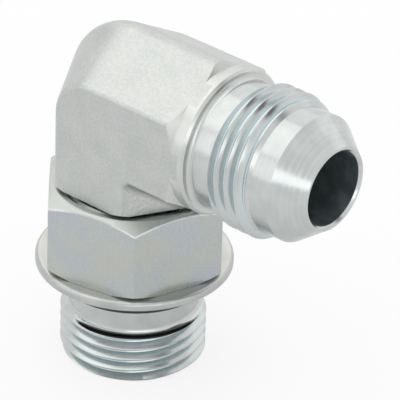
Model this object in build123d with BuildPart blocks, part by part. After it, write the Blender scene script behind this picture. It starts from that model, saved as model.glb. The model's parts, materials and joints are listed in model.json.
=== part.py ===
"""90 degree adapter elbow: a 37 degree flare end on one leg, an adjustable O-ring stud on the other.

Millimetres. The elbow stands on the end of its stud: +Z runs up the stud, +X out along the flare leg,
and the two side pads of the forging face -Y and +Y. The origin is the middle of the stud's end face.
"""

from build123d import *
from math import cos, radians, tan
import os

os.makedirs("parts", exist_ok=True)

# Both ends carry the same 3/4-16 straight thread, and one flow bore turns the corner between them
thread_dia = 19.05
flow_bore_dia = 9.9
drill_point_angle = 118
drill_past_axis = 2.0
bore_mouth_chamfer = 0.25

# Forged elbow, a hexagon that turns the corner round a blunt heel
body_wall = 4.575
parting_ridge_radius = 2.4
pad_edge_radius = 0.7
crotch_radius = 1.6

# Stud, from its end upwards, with depths taken inwards from the thread's crests
stud_chamfer = 0.57
end_thread_length = 6.72
undercut_length = 7.68
undercut_depth = 1.075
undercut_foot_land = 0.075
neck_length = 0.9
neck_depth = 0.725
underside_corner_cut = 0.6
underside_chamfer_angle = 30
ridge_above_underside = 0.03

# Back-up washer, just below the nut
washer_past_nut_corners = 0.05
washer_thickness = 1.2
washer_edge_chamfer = 0.3
washer_hole_clearance = 0.2
washer_play = 0.05

# O-ring that seals the port, stretched onto the undercut below the washer
o_ring_section_dia = 2.21
o_ring_section_sides = 12
o_ring_seat_gap = 0.02
o_ring_washer_gap = 0.05

# Lock nut, whose wall stands between the thread's crests and its flats
nut_wall = 1.5875
nut_thickness = 10.95
nut_chamfer_angle = 28
nut_top_corner_cut = 2.08
nut_bottom_corner_cut = 1.33
nut_corner_heading = -49.3
nut_running_clearance = 0.06
nut_countersink = 0.5
nut_seat_gap = 0.02
nut_top_gap = 0.38

# Flare leg, from its tip backwards, with depths taken inwards from the thread's crests
flare_reach = 32.0
flare_angle = 37
tip_land = 0.59
nose_depth = 1.135
nose_to_thread = 6.7
flare_thread_length = 6.6
relief_length = 3.1
relief_depth = 1.065
relief_root_chamfer = 0.4
collar_height = 1.24
collar_width = 0.7
collar_edge_chamfer = 0.3
turned_corner_length = 2.15
corner_turning_angle = 55

# Half the angle at a regular hexagon's middle between one corner and the next
hexagon_half_angle = 30

# The round at the undercut's foot is drawn as two flats that meet halfway round it
root_flats_meet_at = 45

# Radii that the sizes above give
thread_radius = thread_dia / 2
bore_radius = flow_bore_dia / 2
pad_y = bore_radius + body_wall
body_corner_radius = pad_y / cos(radians(hexagon_half_angle))
undercut_radius = thread_radius - undercut_depth
undercut_root_radius = undercut_depth - undercut_foot_land
undercut_root_step = undercut_root_radius * (1 - cos(radians(root_flats_meet_at)))
neck_radius = thread_radius - neck_depth
underside_radius = body_corner_radius - underside_corner_cut
nose_radius = thread_radius - nose_depth
relief_radius = thread_radius - relief_depth
collar_radius = relief_radius + collar_height
nut_flat_radius = thread_radius + nut_wall
nut_corner_radius = nut_flat_radius / cos(radians(hexagon_half_angle))
nut_top_face_radius = nut_corner_radius - nut_top_corner_cut
nut_bottom_face_radius = nut_corner_radius - nut_bottom_corner_cut
washer_radius = nut_corner_radius + washer_past_nut_corners
o_ring_section_radius = o_ring_section_dia / 2
o_ring_radius = undercut_radius + o_ring_seat_gap + o_ring_section_radius

# Heights up the stud
undercut_top = end_thread_length + undercut_length
washer_top = undercut_top - washer_play
washer_bottom = washer_top - washer_thickness
o_ring_height = washer_bottom - o_ring_washer_gap - o_ring_section_radius
nut_bottom = washer_top + nut_seat_gap
nut_top = nut_bottom + nut_thickness
underside_height = nut_top + nut_top_gap
neck_bottom = underside_height - neck_length
flare_axis_height = underside_height + ridge_above_underside + body_corner_radius

# Stations along the flare leg
nose_x = flare_reach - nose_to_thread
flare_thread_x = nose_x - flare_thread_length
shoulder_x = flare_thread_x - relief_length
hex_end_x = shoulder_x - collar_width
corner_turning_x = hex_end_x - turned_corner_length

# Lengths of the cones, and how far the stud's leg is forged past its underside before it is faced
leg_overrun = body_corner_radius / 2
cone_length = (nose_radius - bore_radius - tip_land) / tan(radians(flare_angle))
corner_turning_run = (body_corner_radius - collar_radius) / tan(radians(corner_turning_angle))
underside_chamfer_rise = underside_corner_cut * tan(radians(underside_chamfer_angle))
nut_bottom_chamfer_rise = nut_bottom_corner_cut * tan(radians(nut_chamfer_angle))
nut_top_chamfer_rise = nut_top_corner_cut * tan(radians(nut_chamfer_angle))
drill_point_length = bore_radius / tan(radians(drill_point_angle / 2))

# Turning axes, and the planes in which their profiles are drawn
stud_axis = Axis.Z
stud_plane = Plane.XZ
flare_axis = Axis((0, 0, flare_axis_height), (1, 0, 0))
flare_plane = Plane(origin=(0, 0, flare_axis_height), x_dir=(1, 0, 0), z_dir=(0, -1, 0))
flare_section_plane = Plane(origin=(0, 0, flare_axis_height), x_dir=(0, 1, 0), z_dir=(1, 0, 0))
pads_axis = Axis((0, 0, flare_axis_height), (0, 1, 0))


# How near to a plane an edge's middle counts as lying on it, and how far off as clear of it
on_plane = 0.01
off_plane = 0.1


def forged_edges(wanted):
    """Edges of the forging, away from its two sawn ends, whose middle is wanted."""
    above_foot = elbow_body.edges().filter_by(
        lambda e: e.center().Z > underside_height - leg_overrun + off_plane
    )
    inner = above_foot.filter_by(lambda e: e.center().X < hex_end_x - off_plane)
    return inner.filter_by(lambda e: wanted(e.center()))


with BuildPart() as elbow_body:
    # Forged legs: hexagons whose pads face -Y and +Y and whose ridges lie on the parting plane
    with BuildSketch(Plane.XY.offset(underside_height - leg_overrun)):
        RegularPolygon(radius=pad_y, side_count=6, major_radius=False)
    extrude(amount=flare_axis_height - underside_height + leg_overrun)
    with BuildSketch(flare_section_plane):
        RegularPolygon(radius=pad_y, side_count=6, major_radius=False, rotation=hexagon_half_angle)
    extrude(amount=hex_end_x)

    # Blunt heel: the upper half of the hexagon turned from the one leg round to the other
    with BuildSketch(flare_section_plane):
        RegularPolygon(radius=pad_y, side_count=6, major_radius=False, rotation=hexagon_half_angle)
        split(bisect_by=Plane.XZ, keep=Keep.BOTTOM)
    revolve(axis=pads_axis, revolution_arc=-90)

    # The die leaves the crotch, the parting ridges and the pads' edges rounded
    crotch_edges = forged_edges(lambda c: c.X > leg_overrun and off_plane < abs(c.Y) < pad_y - off_plane)
    fillet(crotch_edges, radius=crotch_radius)
    parting_ridges = forged_edges(lambda c: abs(c.Y) < on_plane)
    fillet(parting_ridges, radius=parting_ridge_radius)
    pad_edges = forged_edges(lambda c: abs(abs(c.Y) - pad_y) < on_plane)
    fillet(pad_edges, radius=pad_edge_radius)

    # The hexagon's corners are turned down to the collar, and its pads run on to the collar's edge
    with BuildSketch(flare_plane):
        with BuildLine():
            Polyline(
                (corner_turning_x, body_corner_radius),
                (corner_turning_x + corner_turning_run, collar_radius),
                (hex_end_x, collar_radius),
                (hex_end_x, body_corner_radius),
                close=True,
            )
        make_face()
    revolve(axis=flare_axis, mode=Mode.SUBTRACT)

    # The underside is faced off, with its corners chamfered
    with BuildSketch(stud_plane):
        with BuildLine():
            Polyline(
                (0, underside_height),
                (underside_radius, underside_height),
                (body_corner_radius, underside_height + underside_chamfer_rise),
                (body_corner_radius, underside_height - leg_overrun),
                (0, underside_height - leg_overrun),
                close=True,
            )
        make_face()
    revolve(axis=stud_axis, mode=Mode.SUBTRACT)

    # Stud: end thread, undercut, nut thread and the neck where that thread runs out
    with BuildSketch(stud_plane):
        with BuildLine():
            Polyline(
                (0, 0),
                (thread_radius - stud_chamfer, 0),
                (thread_radius, stud_chamfer),
                (thread_radius, end_thread_length),
                (undercut_radius + undercut_root_radius, end_thread_length),
                (undercut_radius + undercut_root_step, end_thread_length + undercut_root_step),
                (undercut_radius, end_thread_length + undercut_root_radius),
                (undercut_radius, undercut_top),
                (thread_radius, undercut_top + undercut_depth),
                (thread_radius, neck_bottom - neck_depth),
                (neck_radius, neck_bottom),
                (neck_radius, flare_axis_height),
                (0, flare_axis_height),
                close=True,
            )
        make_face()
    revolve(axis=stud_axis)

    # Flare end: collar, relief, thread, nose and the 37 degree cone
    with BuildSketch(flare_plane):
        with BuildLine():
            Polyline(
                (0, 0),
                (0, relief_radius),
                (hex_end_x, relief_radius),
                (hex_end_x, collar_radius),
                (shoulder_x - collar_edge_chamfer, collar_radius),
                (shoulder_x, collar_radius - collar_edge_chamfer),
                (shoulder_x, relief_radius + relief_root_chamfer),
                (shoulder_x + relief_root_chamfer, relief_radius),
                (flare_thread_x, relief_radius),
                (flare_thread_x + relief_depth, thread_radius),
                (nose_x - nose_depth, thread_radius),
                (nose_x, nose_radius),
                (flare_reach - cone_length, nose_radius),
                (flare_reach, bore_radius + tip_land),
                (flare_reach, 0),
                close=True,
            )
        make_face()
    revolve(axis=flare_axis)

    # Flow bore, drilled in from both ends until the two holes have passed each other
    with BuildSketch(stud_plane):
        with BuildLine():
            Polyline(
                (0, 0),
                (bore_radius + bore_mouth_chamfer, 0),
                (bore_radius, bore_mouth_chamfer),
                (bore_radius, flare_axis_height + drill_past_axis),
                (0, flare_axis_height + drill_past_axis + drill_point_length),
                close=True,
            )
        make_face()
    revolve(axis=stud_axis, mode=Mode.SUBTRACT)
    with BuildSketch(flare_plane):
        with BuildLine():
            Polyline(
                (flare_reach, 0),
                (flare_reach, bore_radius + bore_mouth_chamfer),
                (flare_reach - bore_mouth_chamfer, bore_radius),
                (-drill_past_axis, bore_radius),
                (-drill_past_axis - drill_point_length, 0),
                close=True,
            )
        make_face()
    revolve(axis=flare_axis, mode=Mode.SUBTRACT)

elbow_body.part.label = "elbow_body"
export_step(elbow_body.part, "parts/elbow_body.step")


with BuildPart() as lock_nut:
    # Hexagonal bar, bored to run on the nut thread
    with BuildSketch(Plane.XY.offset(nut_bottom)):
        RegularPolygon(radius=nut_flat_radius, side_count=6, major_radius=False, rotation=nut_corner_heading)
        Circle(radius=thread_radius + nut_running_clearance, mode=Mode.SUBTRACT)
    extrude(amount=nut_thickness)
    bore_mouths = lock_nut.edges().filter_by(GeomType.CIRCLE)
    chamfer(bore_mouths, length=nut_countersink)

    # Corners chamfered at both ends, so that every flat ends in an arc
    with BuildSketch(stud_plane):
        with BuildLine():
            Polyline(
                (0, nut_bottom),
                (nut_bottom_face_radius, nut_bottom),
                (nut_corner_radius, nut_bottom + nut_bottom_chamfer_rise),
                (nut_corner_radius, nut_top - nut_top_chamfer_rise),
                (nut_top_face_radius, nut_top),
                (0, nut_top),
                close=True,
            )
        make_face()
    revolve(axis=stud_axis, mode=Mode.INTERSECT)

lock_nut.part.label = "lock_nut"
export_step(lock_nut.part, "parts/lock_nut.step")


with BuildPart() as backup_washer:
    # Blanked ring that clears the undercut but not the threads, with its upper rim broken
    with BuildSketch(Plane.XY.offset(washer_bottom)):
        Circle(radius=washer_radius)
        Circle(radius=undercut_radius + washer_hole_clearance, mode=Mode.SUBTRACT)
    extrude(amount=washer_thickness)
    upper_circles = backup_washer.edges().filter_by(GeomType.CIRCLE).group_by(Axis.Z)[-1]
    upper_rim = upper_circles.sort_by(SortBy.RADIUS)[-1]
    chamfer(upper_rim, length=washer_edge_chamfer)

backup_washer.part.label = "backup_washer"
export_step(backup_washer.part, "parts/backup_washer.step")


with BuildPart() as port_o_ring:
    # Rubber ring whose round section is drawn with flats, one of them flat against the undercut
    with BuildSketch(stud_plane):
        with Locations((o_ring_radius, o_ring_height)):
            RegularPolygon(
                radius=o_ring_section_radius,
                side_count=o_ring_section_sides,
                major_radius=False,
                rotation=180 / o_ring_section_sides,
            )
    revolve(axis=stud_axis)

port_o_ring.part.label = "port_o_ring"
export_step(port_o_ring.part, "parts/port_o_ring.step")
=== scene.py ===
import bpy
import bmesh
import json
from math import cos, pi, radians, sin, tan
from mathutils import Matrix, Vector

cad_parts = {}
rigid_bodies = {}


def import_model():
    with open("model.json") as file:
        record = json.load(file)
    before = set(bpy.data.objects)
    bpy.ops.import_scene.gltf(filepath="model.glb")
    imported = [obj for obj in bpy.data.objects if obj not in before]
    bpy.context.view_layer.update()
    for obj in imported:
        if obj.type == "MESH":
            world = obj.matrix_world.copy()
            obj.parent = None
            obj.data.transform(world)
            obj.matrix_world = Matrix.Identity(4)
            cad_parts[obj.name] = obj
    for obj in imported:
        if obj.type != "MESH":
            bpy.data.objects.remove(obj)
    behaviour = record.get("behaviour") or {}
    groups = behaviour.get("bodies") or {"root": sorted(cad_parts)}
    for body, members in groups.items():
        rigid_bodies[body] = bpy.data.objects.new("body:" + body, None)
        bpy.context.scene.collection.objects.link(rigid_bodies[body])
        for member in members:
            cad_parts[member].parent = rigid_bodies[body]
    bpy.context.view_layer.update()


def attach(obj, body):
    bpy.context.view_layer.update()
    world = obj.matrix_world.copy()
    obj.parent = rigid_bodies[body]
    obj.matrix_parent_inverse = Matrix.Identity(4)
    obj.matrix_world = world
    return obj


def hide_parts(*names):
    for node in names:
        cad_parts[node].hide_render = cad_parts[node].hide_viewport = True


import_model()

mm = 0.001

# Pieces are in millimetres, up the stud (z) or out along the flare leg (x), as on a drawing
fitting = {
    "axisHeight": 36.7285,  # flare leg's axis above the stud's end
    "threadRadius": 9.525,
    "threadRoot": 8.5,
    "pitch": 25.4 / 16,
    "boreRadius": 4.95,
    "boreMouth": 0.25,  # chamfer at both mouths
    "drillPast": 2.0,  # how far each drill goes past the other leg's axis
    "drillPoint": 2.974,  # length of the drill's point
    "turnSteps": 144,
    "studBoreSteps": 90,
    "smoothAngle": 30,  # degrees; edges sharper than this stay sharp
}
axisHeight = fitting["axisHeight"]
samePlace = 0.002  # points nearer than this are one
sliver = 0.001  # and this is what a cut may leave over


def deselectAll():
    if bpy.context.mode != "OBJECT":
        bpy.ops.object.mode_set(mode="OBJECT")
    bpy.ops.object.select_all(action="DESELECT")


def takeUp(piece):
    deselectAll()
    piece.select_set(True)
    bpy.context.view_layer.objects.active = piece


def edit(piece):
    takeUp(piece)
    bpy.ops.object.mode_set(mode="EDIT")
    bpy.ops.mesh.select_mode(type="VERT")


def pickVerts(wanted):
    bpy.ops.mesh.select_mode(type="VERT")
    bpy.ops.mesh.select_all(action="DESELECT")
    mesh = bmesh.from_edit_mesh(bpy.context.object.data)
    for v in mesh.verts:
        if wanted(v.co / mm):
            v.select = True
    mesh.select_flush_mode()
    bmesh.update_edit_mesh(bpy.context.object.data)


def pickEdges(wanted):
    bpy.ops.mesh.select_mode(type="EDGE")
    bpy.ops.mesh.select_all(action="DESELECT")
    mesh = bmesh.from_edit_mesh(bpy.context.object.data)
    for e in mesh.edges:
        if wanted(e.verts[0].co / mm, e.verts[1].co / mm):
            e.select = True
    mesh.select_flush_mode()
    bmesh.update_edit_mesh(bpy.context.object.data)


def slide(x=0, y=0, z=0):
    bpy.ops.mesh.extrude_region_move(TRANSFORM_OT_translate={"value": (x * mm, y * mm, z * mm)})


def closeUp(piece):
    # Doubles merged, holes filled and faces turned outwards
    edit(piece)
    bpy.ops.mesh.select_all(action="SELECT")
    bpy.ops.mesh.remove_doubles(threshold=samePlace * mm)
    bpy.ops.mesh.fill_holes(sides=0)
    bpy.ops.mesh.select_all(action="SELECT")
    bpy.ops.mesh.normals_make_consistent(inside=False)
    bpy.ops.object.mode_set(mode="OBJECT")


def cutWith(piece, cutter, how="DIFFERENCE"):
    takeUp(piece)
    tool = piece.modifiers.new(how.lower(), "BOOLEAN")
    tool.operation = how
    tool.solver = "EXACT"
    tool.object = cutter
    bpy.ops.object.modifier_apply(modifier=tool.name)
    bpy.data.objects.remove(cutter)
    edit(piece)
    bpy.ops.mesh.select_all(action="SELECT")
    bpy.ops.mesh.remove_doubles(threshold=sliver * mm)
    bpy.ops.mesh.select_all(action="SELECT")
    bpy.ops.mesh.dissolve_degenerate(threshold=sliver / 2 * mm)
    bpy.ops.mesh.select_all(action="SELECT")
    bpy.ops.mesh.delete_loose()
    bpy.ops.object.mode_set(mode="OBJECT")


def turnOntoFlare(piece):
    # Pieces for the flare leg are turned about z first, then laid along x at the leg's height
    takeUp(piece)
    piece.rotation_euler = (0, pi / 2, 0)
    piece.location = (0, 0, axisHeight * mm)
    bpy.ops.object.transform_apply(location=True, rotation=True, scale=True)


def drawOutline(name, outline, closed):
    # One vertex, extruded from point to point of an outline of (height, radius)
    deselectAll()
    height, radius = outline[0]
    bpy.ops.mesh.primitive_plane_add(size=mm, location=(0, 0, 0))
    piece = bpy.context.object
    piece.name = piece.data.name = name
    edit(piece)
    bpy.ops.mesh.select_all(action="SELECT")
    bpy.ops.mesh.merge(type="CENTER")
    bpy.ops.transform.translate(value=(radius * mm, 0, height * mm))
    for nextHeight, nextRadius in outline[1:]:
        step = ((nextRadius - radius) * mm, 0, (nextHeight - height) * mm)
        bpy.ops.mesh.extrude_vertices_move(TRANSFORM_OT_translate={"value": step})
        height, radius = nextHeight, nextRadius
    if closed:
        ends = (outline[0], outline[-1])
        pickVerts(lambda v: any(abs(v.x - r) + abs(v.z - h) < samePlace for h, r in ends))
        bpy.ops.mesh.edge_face_add()
    return piece


def lathe(name, outline, closed=False, steps=fitting["turnSteps"]):
    piece = drawOutline(name, outline, closed)
    bpy.ops.mesh.select_all(action="SELECT")
    bpy.ops.mesh.spin(steps=steps, angle=2 * pi, center=(0, 0, 0), axis=(0, 0, 1))
    closeUp(piece)
    return piece


def roundCorner(corner, before, after, radius, steps=5):
    # Arc of (height, radius) points that rounds a corner of an outline
    c, a, b = Vector(corner), Vector(before), Vector(after)
    toA, toB = (a - c).normalized(), (b - c).normalized()
    half = toA.angle(toB) / 2
    start = c + toA * radius / tan(half)
    middle = c + (toA + toB).normalized() * radius / sin(half)
    sweep = pi - 2 * half
    arm = start - middle
    sign = 1 if arm.x * (c - middle).y - arm.y * (c - middle).x > 0 else -1
    points = []
    for i in range(steps + 1):
        t = sign * sweep * i / steps
        height = middle.x + arm.x * cos(t) - arm.y * sin(t)
        outward = middle.y + arm.x * sin(t) + arm.y * cos(t)
        points.append((height, outward))
    return points


threadForm = {
    "flankAngle": 30,  # degrees, each side of the groove
    "rootHalf": 0.16,  # half the width of the rounded root, and how far it rises
    "rootRise": 0.06,
    "crestBreak": 0.07,  # how deep and how wide the crest's edges are broken
    "crestBreakWidth": 0.085,
    "proud": 0.01,
    "clear": 0.4,  # the cutter reaches this far outside the crests
}


def threadCutter(name, low, high):
    # Groove with a rounded root and broken crests, run round as a right-hand helix
    root, crest = fitting["threadRoot"], fitting["threadRadius"]
    rootHalf, rise = threadForm["rootHalf"], threadForm["rootRise"]
    broken, width = threadForm["crestBreak"], threadForm["crestBreakWidth"]
    proud, clear = threadForm["proud"], threadForm["clear"]
    crestHalf = rootHalf + (crest - broken - root - rise) * tan(radians(threadForm["flankAngle"]))
    groove = [
        (low, root),
        (low + rootHalf, root + rise),
        (low + crestHalf, crest - broken),
        (low + crestHalf + width, crest + proud),
        (low + crestHalf + width, crest + clear),
        (low - crestHalf - width, crest + clear),
        (low - crestHalf - width, crest + proud),
        (low - crestHalf, crest - broken),
        (low - rootHalf, root + rise),
    ]
    cutter = drawOutline(name, groove, True)
    bpy.ops.object.mode_set(mode="OBJECT")
    turns = cutter.modifiers.new("screw", "SCREW")
    turns.axis = "Z"
    turns.angle = 2 * pi
    turns.steps = turns.render_steps = fitting["turnSteps"]
    turns.screw_offset = fitting["pitch"] * mm
    turns.iterations = max(1, round((high - low) / fitting["pitch"]))
    bpy.ops.object.modifier_apply(modifier=turns.name)
    closeUp(cutter)
    return cutter


forging = {
    "halfFlats": 9.525,
    "ridgeRadius": 2.4,  # parting ridges, along -x and +x of the section
    "ridgeSteps": 8,
    "padEdgeRadius": 0.7,
    "padEdgeSteps": 4,
    "crotchRadius": 1.6,
    "crotchSteps": 6,
    "heelSteps": 32,
    "underside": 25.7,
    "undersideRadius": 10.4,
    "undersideReach": 11.6,  # of the facing cutter, outside every corner
    "undersideSwing": 8,  # and how far below the underside it starts
    "overrun": 5.5,  # swept from this far below the underside, then faced off
    "legEnd": 14.9,
    "runOn": 0.25,  # the forging goes on this far inside the collar
    "spare": 3,  # swept this far past the leg's end, then cut off
}


def forge():
    half = forging["halfFlats"]
    corner = half / cos(radians(30))
    low = forging["underside"] - forging["overrun"]
    end = forging["legEnd"] + forging["runOn"]
    deselectAll()
    bpy.ops.mesh.primitive_circle_add(
        vertices=6, radius=corner * mm, fill_type="NGON", location=(0, 0, 0)
    )
    piece = bpy.context.object
    piece.name = piece.data.name = "elbow_machined"
    edit(piece)
    bpy.ops.mesh.select_all(action="SELECT")
    bpy.ops.transform.rotate(value=pi / 2, orient_axis="Z", center_override=(0, 0, 0))
    bpy.ops.transform.translate(value=(0, 0, low * mm))
    # Parting ridges and pad edges are rounded on the section, before it is swept
    for atCorner, radius, steps in (
        (lambda v: abs(v.y) < samePlace, forging["ridgeRadius"], forging["ridgeSteps"]),
        (lambda v: abs(abs(v.y) - half) < samePlace, forging["padEdgeRadius"], forging["padEdgeSteps"]),
    ):
        pickVerts(atCorner)
        offset = radius * tan(radians(30)) * mm
        bpy.ops.mesh.bevel(offset=offset, segments=steps, profile=0.5, affect="VERTICES")
    bpy.ops.mesh.select_all(action="SELECT")
    bpy.ops.mesh.delete(type="ONLY_FACE")
    pickEdges(lambda a, b: abs(abs(a.y) - half) < samePlace and abs(abs(b.y) - half) < samePlace)
    bpy.ops.mesh.delete(type="EDGE")
    # Outer half: up the stud's leg, round the heel and out along the flare leg
    pickEdges(lambda a, b: a.x < 0 and b.x < 0)
    slide(z=axisHeight - low)
    pivot = (0, 0, axisHeight * mm)
    bpy.ops.mesh.spin(steps=forging["heelSteps"], angle=pi / 2, center=pivot, axis=(0, -1, 0))
    slide(x=forging["legEnd"] + forging["spare"])
    # Inner half: up to the mitre, round the crotch in small steps and out along the flare leg
    blend = forging["crotchRadius"]
    pickEdges(lambda a, b: a.x > 0 and b.x > 0 and abs(a.z - low) + abs(b.z - low) < samePlace)
    slide(z=axisHeight - low)
    bpy.ops.mesh.select_linked(delimit=set())
    mitre = (0, 0, (axisHeight - blend) * mm)
    bpy.ops.mesh.bisect(plane_co=mitre, plane_no=(1, 0, 1), clear_outer=True)

    def onMitre(v):
        return abs(v.x + v.z - axisHeight + blend) < samePlace and v.x > 0

    pickEdges(lambda a, b: onMitre(a) and onMitre(b))
    steps = forging["crotchSteps"]
    for i in range(steps):
        t, u = i / steps * pi / 2, (i + 1) / steps * pi / 2
        slide(x=blend * (cos(t) - cos(u)), z=blend * (sin(u) - sin(t)))
    slide(x=forging["legEnd"] + forging["spare"])
    bpy.ops.mesh.select_all(action="SELECT")
    bpy.ops.mesh.remove_doubles(threshold=samePlace * mm)
    bpy.ops.mesh.select_all(action="SELECT")
    bpy.ops.mesh.bisect(plane_co=(end * mm, 0, 0), plane_no=(1, 0, 0), clear_outer=True)
    # Each pad is one flat face: its two open ends get an edge, then its outline is filled
    for y in (-half, half):
        for atEnd in (lambda v: abs(v.z - low) < samePlace, lambda v: abs(v.x - end) < samePlace):
            pickVerts(lambda v: abs(v.y - y) < samePlace and atEnd(v))
            bpy.ops.mesh.edge_face_add()
        pickEdges(lambda a, b: abs(a.y - y) < samePlace and abs(b.y - y) < samePlace)
        bpy.ops.mesh.edge_face_add()
    closeUp(piece)
    return piece


elbow = forge()
print("forging", len(elbow.data.vertices))


turned = {
    "undersideSlope": tan(radians(30)),
    "studChamfer": 0.57,
    "endThread": 6.72,
    "threadEdge": 0.08,  # flat left between the end thread and the undercut's foot
    "footRadius": 1.0,
    "footSteps": 10,
    "undercutTop": 14.4,
    "undercutRadius": 8.45,
    "neckBottom": 24.8,
    "neckRadius": 8.8,
    "studInside": 35,  # the stud goes on up to here, inside the forging
    "legInside": (1, 8.2),  # and the flare leg from here, at this radius
    "hexCorner": 10.998,
    "cornerTurning": 12.75,  # where the turning first bites into the forging's corners
    "cornerSlope": tan(radians(55)),
    "cornerReach": 12.2,  # outer radius of that cutter, and where it ends
    "cornerEnd": 16.5,
    "cornerUnder": 0.005,
    "collarRadius": 9.7,
    "collarBreak": 0.3,
    "shoulder": 15.6,
    "reliefRadius": 8.46,
    "reliefRoot": 0.7,
    "reliefSteps": 8,
    "flareThread": 18.7,
    "nose": 25.3,
    "noseRadius": 8.39,
    "coneBase": 28.2175,
    "tip": 32.0,
    "tipRadius": 5.54,
    "studGroove": (-1.82, 9.3),  # where each thread's groove starts and ends
    "nutGroove": (12.7, 23.8),
    "flareGroove": (17.16, 26.3),
}


def faceUnderside(piece):
    low, radius, reach = (forging[k] for k in ("underside", "undersideRadius", "undersideReach"))
    rim = low + (reach - radius) * turned["undersideSlope"]
    start = low - forging["undersideSwing"]
    outline = [(low, 0), (low, radius), (rim, reach), (start, reach), (start, 0)]
    cutWith(piece, lathe("underside", outline))


def cornerStart():
    # Where the cone that turns the corners down leaves its cutter's outer radius
    lead = (turned["cornerReach"] - turned["hexCorner"]) / turned["cornerSlope"]
    return turned["cornerTurning"] - lead


def turnCorners(piece):
    start, end, reach = cornerStart(), turned["cornerEnd"], turned["cornerReach"]
    radius = turned["collarRadius"] - turned["cornerUnder"]
    run = (reach - radius) / turned["cornerSlope"]
    outline = [(start, reach), (start + run, radius), (end, radius), (end, reach)]
    cutter = lathe("corners", outline, closed=True)
    turnOntoFlare(cutter)
    cutWith(piece, cutter)


def turnStud():
    thread, under = fitting["threadRadius"], turned["undercutRadius"]
    foot, top = turned["endThread"], turned["undercutTop"]
    neck, neckRadius, inside = turned["neckBottom"], turned["neckRadius"], turned["studInside"]
    outline = [(0, 0), (0, thread - turned["studChamfer"]), (turned["studChamfer"], thread)]
    outline += [(foot - turned["threadEdge"], thread)]
    footArms = (foot, thread), (top, under)
    outline += roundCorner((foot, under), *footArms, turned["footRadius"], turned["footSteps"])
    outline += [(top, under), (top + thread - under, thread)]
    outline += [(neck - (thread - neckRadius), thread), (neck, neckRadius)]
    outline += [(inside, neckRadius), (inside, 0)]
    stud = lathe("stud", outline)
    for groove in ("studGroove", "nutGroove"):
        cutWith(stud, threadCutter(groove, *turned[groove]))
    return stud


def turnFlare():
    thread, relief = fitting["threadRadius"], turned["reliefRadius"]
    collar, shoulder, nose = turned["collarRadius"], turned["shoulder"], turned["nose"]
    collarEdge = collar - turned["collarBreak"]
    legEnd, start, noseRadius = forging["legEnd"], turned["flareThread"], turned["noseRadius"]
    inside, insideRadius = turned["legInside"]
    outline = [(inside, 0), (inside, insideRadius), (legEnd, insideRadius), (legEnd, collar)]
    outline += [(shoulder - turned["collarBreak"], collar), (shoulder, collarEdge)]
    rootArms = (shoulder, collarEdge), (start, relief)
    outline += roundCorner((shoulder, relief), *rootArms, turned["reliefRoot"], turned["reliefSteps"])
    outline += [(start, relief), (start + thread - relief, thread)]
    outline += [(nose - (thread - noseRadius), thread), (nose, noseRadius)]
    outline += [(turned["coneBase"], noseRadius), (turned["tip"], turned["tipRadius"])]
    outline += [(turned["tip"], 0)]
    leg = lathe("leg", outline)
    cutWith(leg, threadCutter("flareGroove", *turned["flareGroove"]))
    turnOntoFlare(leg)
    return leg


def boreCutter(name, start, end, steps):
    # A drill with its point, and the chamfer that it leaves at the mouth
    radius, mouth = fitting["boreRadius"], fitting["boreMouth"]
    way = 1 if end > start else -1
    outline = [
        (start - way, 0),
        (start - way, radius + mouth + 1),
        (start, radius + mouth),
        (start + way * mouth, radius),
        (end, radius),
        (end + way * fitting["drillPoint"], 0),
    ]
    return lathe(name, outline, steps=steps)


faceUnderside(elbow)
turnCorners(elbow)
cutWith(elbow, turnStud(), "UNION")
cutWith(elbow, turnFlare(), "UNION")
cutWith(elbow, boreCutter("studBore", 0, axisHeight + fitting["drillPast"], fitting["studBoreSteps"]))
flareBore = boreCutter("flareBore", turned["tip"], -fitting["drillPast"], fitting["turnSteps"])
turnOntoFlare(flareBore)
cutWith(elbow, flareBore)
print("elbow", len(elbow.data.vertices), len(elbow.data.polygons))


lockNut = {
    "bottom": 14.37,
    "top": 25.32,
    "halfFlats": 11.1125,
    "topFace": 10.752,  # radii where the corner chamfers start
    "bottomFace": 11.502,
    "chamferRise": tan(radians(28)),
    "boreRadius": 9.585,
    "countersink": 0.5,
    "heading": -49.3,  # degrees from +x to one corner
    "spare": 0.6,  # its envelope is turned this far outside the corners
    "brokenEdge": 0.13,
    "brokenAngle": 20,  # edges sharper than this are broken
}


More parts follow.
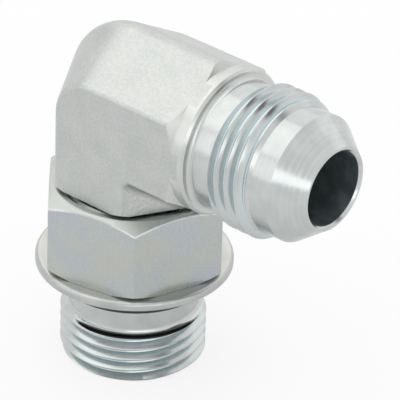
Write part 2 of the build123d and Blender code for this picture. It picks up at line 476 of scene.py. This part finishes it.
def makeNut():
    low, high = lockNut["bottom"], lockNut["top"]
    corner = lockNut["halfFlats"] / cos(radians(30))
    deselectAll()
    bpy.ops.mesh.primitive_cylinder_add(
        vertices=6, radius=corner * mm, depth=(high - low) * mm, location=(0, 0, (high + low) / 2 * mm)
    )
    nut = bpy.context.object
    nut.name = nut.data.name = "lock_nut_threaded"
    takeUp(nut)
    bpy.ops.object.transform_apply(location=True, rotation=True, scale=True)
    edit(nut)
    bpy.ops.mesh.select_all(action="SELECT")
    # A cylinder's first corner stands on +y
    turn = radians(90 - lockNut["heading"])
    bpy.ops.transform.rotate(value=turn, orient_axis="Z", center_override=(0, 0, 0))
    bpy.ops.object.mode_set(mode="OBJECT")
    reach = corner + lockNut["spare"]
    rise = lockNut["chamferRise"]
    envelope = [
        (low, 0),
        (low, lockNut["bottomFace"]),
        (low + (reach - lockNut["bottomFace"]) * rise, reach),
        (high - (reach - lockNut["topFace"]) * rise, reach),
        (high, lockNut["topFace"]),
        (high, 0),
    ]
    cutWith(nut, lathe("nutEnvelope", envelope), "INTERSECT")
    bore, sink = lockNut["boreRadius"], lockNut["countersink"]
    hole = [
        (low - 1, 0),
        (low - 1, bore + sink + 1),
        (low, bore + sink),
        (low + sink, bore),
        (high - sink, bore),
        (high, bore + sink),
        (high + 1, bore + sink + 1),
        (high + 1, 0),
    ]
    cutWith(nut, lathe("nutBore", hole))
    takeUp(nut)
    broken = nut.modifiers.new("broken", "BEVEL")
    broken.limit_method = "ANGLE"
    broken.angle_limit = radians(lockNut["brokenAngle"])
    broken.width = lockNut["brokenEdge"] * mm
    broken.segments = 2
    bpy.ops.object.modifier_apply(modifier=broken.name)
    return nut


washer = {
    "bottom": 13.15,
    "top": 14.35,
    "radius": 12.88,
    "hole": 8.65,
    "rim": 0.6,  # radius of the upper rim, which blanking has drawn round
    "edge": 0.1,
}


def makeWasher():
    low, high, radius, hole = (washer[k] for k in ("bottom", "top", "radius", "hole"))
    edge = washer["edge"]
    outline = [(low, hole), (low, radius - edge), (low + edge, radius)]
    outline += roundCorner((high, radius), (low, radius), (high, hole), washer["rim"])
    outline += [(high, hole + edge), (high - edge, hole)]
    return lathe("washer_blanked", outline, closed=True)


oRing = {"height": 11.995, "radius": 9.575, "section": 2.21, "flash": 0.03, "sides": 36}


def makeORing():
    # Round section with the thin flash line of its mould inside and out
    outline = []
    for i in range(oRing["sides"]):
        turn = 2 * pi * i / oRing["sides"]
        onLine = i in (0, oRing["sides"] // 2)
        reach = oRing["section"] / 2 - (0 if onLine else oRing["flash"])
        outline.append((oRing["height"] + reach * sin(turn), oRing["radius"] + reach * cos(turn)))
    return lathe("o_ring_moulded", outline, closed=True)


nut = makeNut()
ring = makeWasher()
seal = makeORing()
print("nut, washer and O-ring", *(len(piece.data.vertices) for piece in (nut, ring, seal)))


def finishMesh(piece):
    edit(piece)
    bpy.ops.mesh.select_all(action="SELECT")
    bpy.ops.mesh.remove_doubles(threshold=sliver * mm)
    bpy.ops.mesh.select_all(action="SELECT")
    bpy.ops.mesh.normals_make_consistent(inside=False)
    bpy.ops.object.mode_set(mode="OBJECT")
    bpy.ops.object.shade_smooth_by_angle(angle=radians(fitting["smoothAngle"]))
    weighted = piece.modifiers.new("weighted", "WEIGHTED_NORMAL")
    weighted.keep_sharp = True
    weighted.weight = 60
    bpy.ops.object.modifier_apply(modifier=weighted.name)


for piece in (elbow, nut, ring, seal):
    finishMesh(piece)


class Wire:
    # Wraps a socket, so that shader maths reads as sums
    def __init__(self, tree, socket=None):
        self.tree = tree
        self.socket = socket

    def node(self, kind, settings, inputs, output=0):
        # Settings are set first, because some of them change the sockets
        made = self.tree.nodes.new(kind)
        for name, value in settings.items():
            setattr(made, name, value)
        for name, value in inputs.items():
            if isinstance(value, Wire):
                self.tree.links.new(value.socket, made.inputs[name])
            else:
                made.inputs[name].default_value = value
        return Wire(self.tree, made.outputs[output])

    def maths(self, operation, first, second=0.0):
        return self.node("ShaderNodeMath", {"operation": operation}, {0: first, 1: second})

    def __add__(self, other):
        return self.maths("ADD", self, other)

    def __radd__(self, other):
        return self.maths("ADD", other, self)

    def __sub__(self, other):
        return self.maths("SUBTRACT", self, other)

    def __rsub__(self, other):
        return self.maths("SUBTRACT", other, self)

    def __mul__(self, other):
        return self.maths("MULTIPLY", self, other)

    def __rmul__(self, other):
        return self.maths("MULTIPLY", other, self)

    def __truediv__(self, other):
        return self.maths("DIVIDE", self, other)

    def __rtruediv__(self, other):
        return self.maths("DIVIDE", other, self)

    def __pow__(self, other):
        return self.maths("POWER", self, other)

    def ramp(self, low, high):
        # 0 at low, 1 at high, smooth between
        inputs = {"Value": self, "From Min": low, "From Max": high}
        return self.node("ShaderNodeMapRange", {"interpolation_type": "SMOOTHSTEP"}, inputs, "Result")

    def tint(self, low, high):
        # Colour low where the wire is 0, colour high where it is 1
        colours = {0: self, 6: low if isinstance(low, Wire) else (*low, 1), 7: (*high, 1)}
        return self.node("ShaderNodeMix", {"data_type": "RGBA"}, colours, 2)

    def numbers(self, vector):
        # A vector's x, y and z
        parts = self.node("ShaderNodeSeparateXYZ", {}, {"Vector": vector}).socket.node.outputs
        return [Wire(self.tree, parts[k]) for k in "XYZ"]

    def noise(self, place, size, detail=2.0, roughness=0.5):
        # Noise whose blobs are about size millimetres across
        inputs = {"Vector": place, "Scale": 1 / (size * mm), "Detail": detail, "Roughness": roughness}
        return self.node("ShaderNodeTexNoise", {}, inputs)

    def lines(self, place, size, detail=1.0):
        # The same along one number, for lathe marks
        inputs = {"W": place, "Scale": 1 / (size * mm), "Detail": detail}
        return self.node("ShaderNodeTexNoise", {"noise_dimensions": "1D"}, inputs)


def newMaterial(name, metallic=1.0):
    material = bpy.data.materials.new(name)
    material.use_nodes = True
    shader = material.node_tree.nodes["Principled BSDF"]
    shader.inputs["Metallic"].default_value = metallic
    draw = Wire(material.node_tree)
    return material, shader, draw, draw.node("ShaderNodeTexCoord", {}, {}, "Object")


def wireUp(shader, colour, roughness, height):
    # Heights are in thousandths of a millimetre
    links = colour.tree.links
    links.new(colour.socket, shader.inputs["Base Color"])
    links.new(roughness.socket, shader.inputs["Roughness"])
    inputs = {"Strength": 1.0, "Distance": 0.001 * mm, "Height": height}
    bump = colour.node("ShaderNodeBump", {}, inputs, "Normal")
    links.new(bump.socket, shader.inputs["Normal"])


# In every finish, sizes are in millimetres across and depths in thousandths of a millimetre
forgedFinish = {
    "pale": (0.575, 0.588, 0.575),
    "dull": (0.470, 0.492, 0.478),
    "rough": 0.36,
    "grain": 0.34,
    "grainDepth": 5.0,
    "patches": 3.2,
    "waves": 7.0,
    "waveDepth": 18.0,
    "dieSkin": (6.9, 7.3, 27.4),  # middle of the coarser skin on +y, and its like on -y
    "dieSkinReach": (2.2, 0.9),  # none of it beyond the first distance, all within the second
    "dieSkinGrain": 0.42,
    "dieSkinDepth": 22,
}


def forgedZinc():
    f = forgedFinish
    material, shader, draw, place = newMaterial("forgedZinc")
    grain = draw.noise(place, f["grain"], 3.0, 0.62)
    patches = draw.noise(place, f["patches"], 3.0)
    waves = draw.noise(place, f["waves"], 1.0)
    # Coarser skin left by the dies beside the crotch, on both sides
    x, y, z = (number / mm for number in draw.numbers(place))
    skinX, skinY, skinZ = f["dieSkin"]
    away = ((x - skinX) ** 2 + (draw.maths("ABSOLUTE", y) - skinY) ** 2 + (z - skinZ) ** 2) ** 0.5
    coarse = away.ramp(*f["dieSkinReach"]) * draw.noise(place, f["dieSkinGrain"], 1.0).ramp(0.48, 0.62)
    shade = (patches * 0.45 + grain * 0.95 - 0.2 + coarse * 0.3).ramp(0.25, 0.75)
    roughness = f["rough"] + (grain - 0.5) * 0.22 + (patches - 0.5) * 0.12
    height = grain * f["grainDepth"] + waves * f["waveDepth"] + coarse * f["dieSkinDepth"]
    wireUp(shader, shade.tint(f["dull"], f["pale"]), roughness, height)
    return material


collarFinish = {
    "pale": (0.640, 0.650, 0.630),
    "dull": (0.560, 0.575, 0.560),
    "rough": 0.30,
    "feed": 0.19,
    "feedDepth": 0.7,
}
# Painted shade: the neck and thread top in the gap between the nut and the forging get a much darker
# colour
neckShadeFinish = {
    "pale": (0.380, 0.400, 0.395),
    "dull": (0.280, 0.300, 0.295),
    "rough": 0.26,
    "feed": 0.12,
    "feedDepth": 1.4,
    "from": 24.0,  # height where the painted shade starts
}
turnedFinish = {
    "pale": (0.600, 0.620, 0.610),
    "dull": (0.500, 0.528, 0.526),
    "rough": 0.20,
    "feed": 0.19,
    "feedDepth": 0.4,
}
lathing = {
    "lean": 0.8,  # marks are counted along the axis, and this much of the way outwards
    "bands": 0.9,
    "bandDepth": 0.9,
    "smudges": 2.4,
    "rootRadii": (9.35, 8.8),  # the painted root shade sets in below the first and is full at the second
    "rootFade": 0.3,  # and fades over this length at a thread's ends
}
# Each thread's root colour is painted shade in its roots
flareThread = {"root": (0.570, 0.640, 0.655), "spans": [(18.6, 25.0)]}
studThreads = {"root": (0.480, 0.555, 0.565), "spans": [(0.3, 6.7), (15.2, 24.4)]}
# Painted dark reflection in the undercut's round foot, on one side only
footPaintedReflection = {
    "colour": (0.105, 0.114, 0.112),
    "low": 6.71,  # heights that it lies between
    "high": 6.82,
    "middleRise": 0.3,  # how much higher it reaches in the middle
    "heading": -46,  # degrees from +x to the side that it lies on
}


def turnedZinc(name, f, ontoFlare, thread=None, paintedReflection=None):
    # Feed marks run round the axis that the surface was turned on
    material, shader, draw, place = newMaterial(name)
    x, y, z = draw.numbers(place)
    if ontoFlare:
        along, across = x, z - axisHeight * mm
    else:
        along, across = z, x
    radius = (across * across + y * y) ** 0.5
    feed = draw.lines(along + radius * lathing["lean"], f["feed"])
    bands = draw.lines(along + radius * lathing["lean"], lathing["bands"], 2.0)
    smudges = draw.noise(place, lathing["smudges"], 3.0)
    shade = (feed * 0.3 + smudges * 0.8 - 0.05).ramp(0.25, 0.8)
    roughness = f["rough"] + (feed - 0.5) * 0.16 + (smudges - 0.5) * 0.10
    colour = shade.tint(f["dull"], f["pale"])
    height = along / mm
    if thread:
        # Painted shade in the thread roots: below the crests the colour goes over to the thread's root
        # colour
        fade = lathing["rootFade"]
        onThread = 0.0
        for start, end in thread["spans"]:
            onThread = onThread + height.ramp(start, start + fade) * height.ramp(end, end - fade)
        rootShadeMask = (radius / mm).ramp(*lathing["rootRadii"]) * onThread * (0.55 + smudges * 0.6)
        colour = rootShadeMask.tint(colour, thread["root"])
    if paintedReflection:
        # Painted dark reflection on one side of the undercut's round foot, in a band that rises in its
        # middle
        low, high, heading = paintedReflection["low"], paintedReflection["high"], radians(paintedReflection["heading"])
        facing = (x * cos(heading) + y * sin(heading)) / radius
        reflectionRise = facing.ramp(0.45, 0.85) * paintedReflection["middleRise"]
        upper = (height - reflectionRise + smudges * 0.1).ramp(high + 0.1, high - 0.05)
        reflectionMask = height.ramp(low - 0.03, low) * upper * facing.ramp(0.50, 0.66)
        colour = reflectionMask.tint(colour, paintedReflection["colour"])
    wireUp(shader, colour, roughness, feed * f["feedDepth"] + bands * lathing["bandDepth"])
    return material


boredFinish = {
    "pale": (0.34, 0.40, 0.41),
    "dull": (0.24, 0.295, 0.305),
    "rough": 0.42,
    "patches": 1.6,
    "patchDepth": 4.0,
}


def boredZinc():
    # Plate is thin and dull down the drilled passages
    f = boredFinish
    material, shader, draw, place = newMaterial("boredZinc")
    patches = draw.noise(place, f["patches"], 3.0)
    colour = patches.ramp(0.3, 0.7).tint(f["dull"], f["pale"])
    wireUp(shader, colour, f["rough"] + patches * 0.15, patches * f["patchDepth"])
    return material


nutFinish = {
    "blue": (0.462, 0.500, 0.532),
    "straw": (0.500, 0.512, 0.478),
    # colour of the painted highlight along the upper chamfer
    "paintedHighlight": (0.790, 0.800, 0.780),
    "rough": 0.27,
    "drawn": 0.35,
    "drawnOut": 0.12,  # the drawing marks are stretched along the axis
    "drawnDepth": 0.8,
    "clouds": 5.5,
    "cloudDepth": 6.0,
    "grain": 0.4,
    "grainDepth": 1.0,
    "highlightBelow": (0.34, 0.16),  # the bright line's lower edge, in millimetres below the chamfer
    "highlightCorner": (11.2, 12.1),  # radii between which it brightens towards a corner
}


def nutZinc():
    # Bright zinc over cold-drawn bar: faint colour of the passivation, and drawing marks along the axis
    f = nutFinish
    material, shader, draw, place = newMaterial("nutZinc")
    stretch = draw.node("ShaderNodeMapping", {}, {"Vector": place, "Scale": (1, 1, f["drawnOut"])})
    drawn = draw.noise(stretch, f["drawn"], 2.0)
    clouds = draw.noise(place, f["clouds"], 2.0)
    grain = draw.noise(place, f["grain"], 2.0)
    shade = (clouds * 1.5 + drawn * 0.2 - 0.35).ramp(0.2, 0.8)
    # Painted highlight: a bright line on the flats along the upper chamfer, brightest by the corners
    x, y, z = (number / mm for number in draw.numbers(place))
    radius = (x * x + y * y) ** 0.5
    below = lockNut["top"] - (radius - lockNut["topFace"]) * lockNut["chamferRise"] - z
    byCorner = radius.ramp(*f["highlightCorner"]) * 0.7 + 0.3
    paintedHighlight = below.ramp(*f["highlightBelow"]) * byCorner * (0.5 + drawn)
    roughness = f["rough"] + (drawn - 0.5) * 0.10 + (clouds - 0.5) * 0.08
    colour = paintedHighlight.tint(shade.tint(f["straw"], f["blue"]), f["paintedHighlight"])
    height = drawn * f["drawnDepth"] + grain * f["grainDepth"] + clouds * f["cloudDepth"]
    wireUp(shader, colour, roughness, height)
    return material


nutChamfer = {
    "pale": (0.590, 0.612, 0.592),
    "dulled": 0.86,
    "rough": 0.46,
    "rings": 0.2,
    "ringDepth": 1.5,
    "clouds": 2.5,
    "slope": 0.8,  # faces whose normal is at least this steep are turned
}


def nutTurnedZinc():
    # The chamfers and end faces are turned, and brighter and less shiny than the flats
    f = nutChamfer
    material, shader, draw, place = newMaterial("nutTurnedZinc")
    x, y = draw.numbers(place)[:2]
    rings = draw.lines((x * x + y * y) ** 0.5, f["rings"])
    dull = tuple(c * f["dulled"] for c in f["pale"])
    colour = draw.noise(place, f["clouds"], 2.0).tint(dull, f["pale"])
    wireUp(shader, colour, f["rough"] + (rings - 0.5) * 0.2, rings * f["ringDepth"])
    return material


washerFace = {
    "pale": (0.640, 0.645, 0.605),
    "dull": (0.560, 0.572, 0.535),
    "rough": 0.34,
}
# Painted shade: the washer's edge and rim get darker colours than its faces
washerShadedEdge = {
    "pale": (0.520, 0.530, 0.520),
    "dull": (0.430, 0.445, 0.440),
    "rough": 0.30,
    "slope": 0.92,  # faces whose normal is less steep than this are the edge
}
washerSkin = {"grain": 0.3, "grainDepth": 1.5, "clouds": 4.0, "cloudDepth": 5.0}


def washerZinc(name, f):
    # The edge is given a darker colour than the faces, as painted shade
    material, shader, draw, place = newMaterial(name)
    grain = draw.noise(place, washerSkin["grain"], 2.0)
    clouds = draw.noise(place, washerSkin["clouds"], 2.0)
    shade = (clouds + grain * 0.3 - 0.15).ramp(0.25, 0.75)
    height = grain * washerSkin["grainDepth"] + clouds * washerSkin["cloudDepth"]
    wireUp(shader, shade.tint(f["dull"], f["pale"]), f["rough"] + (grain - 0.5) * 0.12, height)
    return material


rubber = {
    "pale": (0.024, 0.025, 0.025),
    "dull": (0.012, 0.013, 0.013),
    "rough": 0.42,
    "grain": 0.25,
    "grainDepth": 2.5,
    "smears": 1.8,
}


def moulded():
    # Black nitrile rubber with a film of assembly grease
    material, shader, draw, place = newMaterial("nitrileRubber", 0.0)
    grain = draw.noise(place, rubber["grain"], 2.0)
    smears = draw.noise(place, rubber["smears"], 2.0)
    colour = smears.tint(rubber["dull"], rubber["pale"])
    wireUp(shader, colour, rubber["rough"] + smears * 0.2, grain * rubber["grainDepth"])
    return material


def paintFaces(piece, material, wanted):
    # wanted takes a face's middle, in millimetres, and its normal
    piece.data.materials.append(material)
    edit(piece)
    bpy.ops.mesh.select_mode(type="FACE")
    bpy.ops.mesh.select_all(action="DESELECT")
    mesh = bmesh.from_edit_mesh(piece.data)
    for face in mesh.faces:
        if wanted(face.calc_center_median() / mm, face.normal):
            face.select = True
    bmesh.update_edit_mesh(piece.data)
    piece.active_material_index = len(piece.data.materials) - 1
    bpy.ops.object.material_slot_assign()
    bpy.ops.object.mode_set(mode="OBJECT")


def fromFlareAxis(p):
    return (p.y ** 2 + (p.z - axisHeight) ** 2) ** 0.5


def fromStudAxis(p):
    return (p.x ** 2 + p.y ** 2) ** 0.5


# A face's middle may be this far off the surface that it belongs to
within = {"corners": 0.06, "underside": 0.03, "legEnd": 0.01, "bore": 0.02, "boreEnds": 0.1}


def isFlareTurning(p, n):
    cone = turned["cornerReach"] - (p.x - cornerStart()) * turned["cornerSlope"]
    onCorners = abs(fromFlareAxis(p) - max(cone, turned["collarRadius"])) < within["corners"]
    return onCorners or p.x > forging["legEnd"] - within["legEnd"]


def isCollar(p, n):
    return isFlareTurning(p, n) and p.x < turned["shoulder"] + turned["collarBreak"]


def isStudTurning(p, n):
    rim = (fromStudAxis(p) - forging["undersideRadius"]) * turned["undersideSlope"]
    onChamfer = abs(p.z - (forging["underside"] + rim)) < within["underside"] and n.z < -0.5
    return onChamfer or p.z < forging["underside"] + sliver


def isNeck(p, n):
    return neckShadeFinish["from"] < p.z < forging["underside"]


def isBore(p, n):
    bore = fitting["boreRadius"] + within["bore"]
    low, high = within["boreEnds"], axisHeight + bore
    drilled = -fitting["drillPast"] - fitting["drillPoint"] - low
    alongFlare = fromFlareAxis(p) < bore and drilled < p.x < turned["tip"] - low
    return alongFlare or (fromStudAxis(p) < bore and low < p.z < high)


elbow.data.materials.append(forgedZinc())
paintFaces(elbow, turnedZinc("turnedFlareZinc", turnedFinish, True, flareThread), isFlareTurning)
paintFaces(elbow, turnedZinc("collarZinc", collarFinish, True), isCollar)
turnedStud = turnedZinc("turnedStudZinc", turnedFinish, False, studThreads, footPaintedReflection)
paintFaces(elbow, turnedStud, isStudTurning)
# Painted shade on the neck, between the nut and the forging
paintFaces(elbow, turnedZinc("neckPaintedShadeZinc", neckShadeFinish, False), isNeck)
paintFaces(elbow, boredZinc(), isBore)
nut.data.materials.append(nutZinc())
paintFaces(nut, nutTurnedZinc(), lambda p, n: abs(n.z) > nutChamfer["slope"])
ring.data.materials.append(washerZinc("washerZinc", washerFace))
paintFaces(ring, washerZinc("washerShadedEdgeZinc", washerShadedEdge), lambda p, n: abs(n.z) < washerShadedEdge["slope"])
seal.data.materials.append(moulded())
print("materials")

for piece, node, body, slot in (
    (elbow, "elbow_body", "elbow", "zinc_plated_forging"),
    (nut, "lock_nut", "nut", "zinc_plated_bar"),
    (ring, "backup_washer", "washer", "zinc_plated_sheet"),
    (seal, "port_o_ring", "washer", "nitrile_rubber"),
):
    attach(piece, body)
    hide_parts(node)

studio = {  # in metres
    "floorColour": (0.80, 0.805, 0.81),
    "floorSize": 6,
    "floorRough": 0.9,
    "floorGloss": 0.1,
    "paper": 0.82,  # how far the camera sees the floor as white paper
    "target": (0, 0, 0.03),
    "boxes": {  # place, width and height, how much brighter than the sky behind it, colour
        "overhead": ((-0.35, -0.15, 1.15), (1.5, 1.5), 0.55, (1.0, 0.985, 0.94)),
        "behind": ((-0.45, 1.05, 0.80), (2.3, 0.9), 0.22, (1.0, 0.985, 0.94)),
        "left": ((-1.1, -1.45, 0.55), (1.0, 1.0), 0.38, (1.0, 1.0, 1.0)),
        "right": ((1.06, -0.78, 0.32), (1.1, 0.4), 0.85, (1.0, 1.0, 1.0)),
    },
    "card": (0.74, 0.41, 0.53),  # the way to the dark card
    "cardReach": (13, 5),  # degrees from its middle to its faint rim and to its full darkness
    "cardDarkness": 0.92,
}


def makeFloor():
    deselectAll()
    bpy.ops.mesh.primitive_plane_add(size=studio["floorSize"], location=(0, 0, 0))
    floor = bpy.context.object
    floor.name = "floor"
    material = bpy.data.materials.new("floorPaint")
    material.use_nodes = True
    nodes = material.node_tree.nodes
    draw = Wire(material.node_tree)
    shader = nodes["Principled BSDF"]
    shader.inputs["Base Color"].default_value = (*studio["floorColour"], 1)
    shader.inputs["Roughness"].default_value = studio["floorRough"]
    shader.inputs["Specular IOR Level"].default_value = studio["floorGloss"]
    # For the camera the paper runs out to white, and keeps the shadow
    white = draw.node("ShaderNodeEmission", {}, {"Color": (1, 1, 1, 1), "Strength": 1.0})
    looks = draw.node("ShaderNodeLightPath", {}, {}, "Is Camera Ray")
    paint = Wire(draw.tree, shader.outputs[0])
    mixed = draw.node("ShaderNodeMixShader", {}, {0: looks * studio["paper"], 1: paint, 2: white})
    draw.tree.links.new(mixed.socket, nodes["Material Output"].inputs["Surface"])
    floor.data.materials.append(material)


def makeSky():
    # A strength of 1 is white, and a dark card over the flare end shows in reflections alone
    world = bpy.data.worlds.new("studio")
    bpy.context.scene.world = world
    world.use_nodes = True
    background = world.node_tree.nodes["Background"]
    background.inputs["Color"].default_value = (1, 1, 1, 1)
    draw = Wire(world.node_tree)
    way = draw.node("ShaderNodeTexCoord", {}, {}, "Generated")
    towards = {0: way, 1: Vector(studio["card"]).normalized()}
    near = draw.node("ShaderNodeVectorMath", {"operation": "DOT_PRODUCT"}, towards, "Value")
    card = near.ramp(*(cos(radians(reach)) for reach in studio["cardReach"]))
    hidden = draw.node("ShaderNodeLightPath", {}, {}, "Is Camera Ray")
    strength = 1 - card * studio["cardDarkness"] * (1 - hidden)
    draw.tree.links.new(strength.socket, background.inputs["Strength"])


def hangBoxes():
    for name, (place, size, radiance, colour) in studio["boxes"].items():
        data = bpy.data.lights.new(name, "AREA")
        data.shape = "RECTANGLE"
        data.size, data.size_y = size
        data.energy = radiance * pi * size[0] * size[1]
        data.color = colour
        box = bpy.data.objects.new(name, data)
        bpy.context.scene.collection.objects.link(box)
        box.location = place
        away = Vector(place) - Vector(studio["target"])
        box.rotation_euler = away.to_track_quat("Z", "Y").to_euler()
        box.visible_camera = False


makeFloor()
makeSky()
hangBoxes()
print("studio")

view = {
    "azimuth": 39.62,
    "elevation": 31.26,
    "roll": 1.84,
    "distance": 503.5,
    "target": (0, 0, 25),
    "frame": 400,  # pixels square
    "scale": 7.81,  # pixels to a millimetre at the target
    "centre": (136.18, 179.40),  # the pixel that the target falls on
    "sensor": 36,
}


def placeCamera():
    # Fitted to the photograph
    a, e, roll = (radians(view[k]) for k in ("azimuth", "elevation", "roll"))
    distance, frameSize = view["distance"], view["frame"]
    focal = view["scale"] * distance
    back = Vector((sin(a) * cos(e), -cos(a) * cos(e), sin(e)))
    right = Vector((cos(a), sin(a), 0))
    up = back.cross(right)
    across = right * cos(roll) + up * sin(roll)
    upward = up * cos(roll) - right * sin(roll)
    shiftX = (view["centre"][0] - frameSize / 2) / focal * distance
    shiftY = -(view["centre"][1] - frameSize / 2) / focal * distance
    place = Vector(view["target"]) + back * distance - across * shiftX - upward * shiftY
    data = bpy.data.cameras.new("camera")
    data.sensor_width = view["sensor"]
    data.lens = focal / frameSize * view["sensor"]
    data.clip_end = 20
    camera = bpy.data.objects.new("camera", data)
    bpy.context.scene.collection.objects.link(camera)
    turn = Matrix((across, upward, back)).transposed().to_4x4()
    camera.matrix_world = Matrix.Translation(place * mm) @ turn
    bpy.context.scene.camera = camera


placeCamera()
bpy.context.scene.view_settings.view_transform = "Standard"
